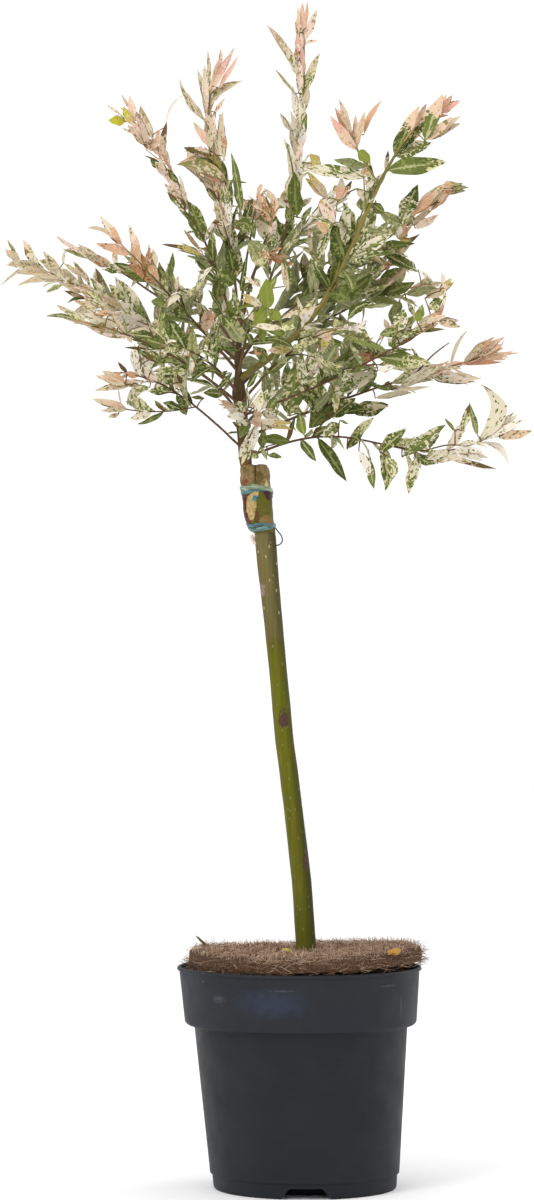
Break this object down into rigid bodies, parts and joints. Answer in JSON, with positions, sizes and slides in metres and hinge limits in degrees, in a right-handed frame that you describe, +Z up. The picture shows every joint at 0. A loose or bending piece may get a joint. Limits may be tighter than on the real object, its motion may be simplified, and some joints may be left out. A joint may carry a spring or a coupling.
{
  "type": "potted dappled willow standard",
  "caption": "Dappled willow grafted on a short bare stem, with cream, pink and green shoots, in a black nursery pot with a coir mat.",
  "frame": {"origin": "middle of the pot's underside, where it stands on the ground", "axes": "+Z up, -Y towards the viewer of the picture, +X to its right"},
  "size_m": [0.4065, 0.3564, 0.9258],
  "materials": {
    "shoot_bark": "reddish-brown shoots",
    "coir": "brown coconut fibre mat",
    "compost": "dark moist compost",
    "green_leaves": "green leaves dappled with cream",
    "cream_leaves": "cream dappled leaves",
    "pink_leaves": "cream leaves with pink tips",
    "black_plastic": "matt injection-moulded nursery pot",
    "tan_bark": "tan young bark",
    "tie_film": "teal grafting film",
    "green_bark": "smooth olive-green bark"
  },
  "bodies": {
    "root": {"bough_back_flat": "shoot_bark", "bough_back_left": "shoot_bark", "bough_back_low_left": "shoot_bark", "bough_back_low_right": "shoot_bark", "bough_back_right": "shoot_bark", "bough_back_tall": "shoot_bark", "bough_back_yellow": "shoot_bark", "bough_far_left": "shoot_bark", "bough_front_high": "shoot_bark", "bough_front_left": "shoot_bark", "bough_front_right": "shoot_bark", "bough_front_up": "shoot_bark", "bough_left_cream": "shoot_bark", "bough_left_fork": "shoot_bark", "bough_left_pink": "shoot_bark", "bough_left_thin": "shoot_bark", "bough_right_low": "shoot_bark", "bough_right_orange": "shoot_bark", "bough_right_pale": "shoot_bark", "bough_right_pink": "shoot_bark", "bough_right_red": "shoot_bark", "bough_tall_left": "shoot_bark", "bough_tall_right": "shoot_bark", "bough_top": "shoot_bark", "bough_up_left": "shoot_bark", "coir_disc": "coir", "compost": "compost", "leaves_back_flat": "green_leaves", "leaves_back_left": "green_leaves", "leaves_back_low_left": "green_leaves", "leaves_back_low_right": "green_leaves", "leaves_back_right": "green_leaves", "leaves_back_tall": "green_leaves", "leaves_back_yellow": "green_leaves", "leaves_far_left": "cream_leaves", "leaves_front_high": "green_leaves", "leaves_front_left": "green_leaves", "leaves_front_low": "green_leaves", "leaves_front_right": "green_leaves", "leaves_front_up": "green_leaves", "leaves_left_cream": "cream_leaves", "leaves_left_fork": "pink_leaves", "leaves_left_pink": "pink_leaves", "leaves_left_thin": "cream_leaves", "leaves_right_low": "cream_leaves", "leaves_right_orange": "green_leaves", "leaves_right_pale": "green_leaves", "leaves_right_pink": "pink_leaves", "leaves_right_red": "green_leaves", "leaves_tall_left": "pink_leaves", "leaves_tall_right": "pink_leaves", "leaves_top": "pink_leaves", "leaves_up_left": "cream_leaves", "pot": "black_plastic", "scion": "tan_bark", "tie_lower": "tie_film", "tie_upper": "tie_film", "trunk": "green_bark"}
  },
  "joints": []
}
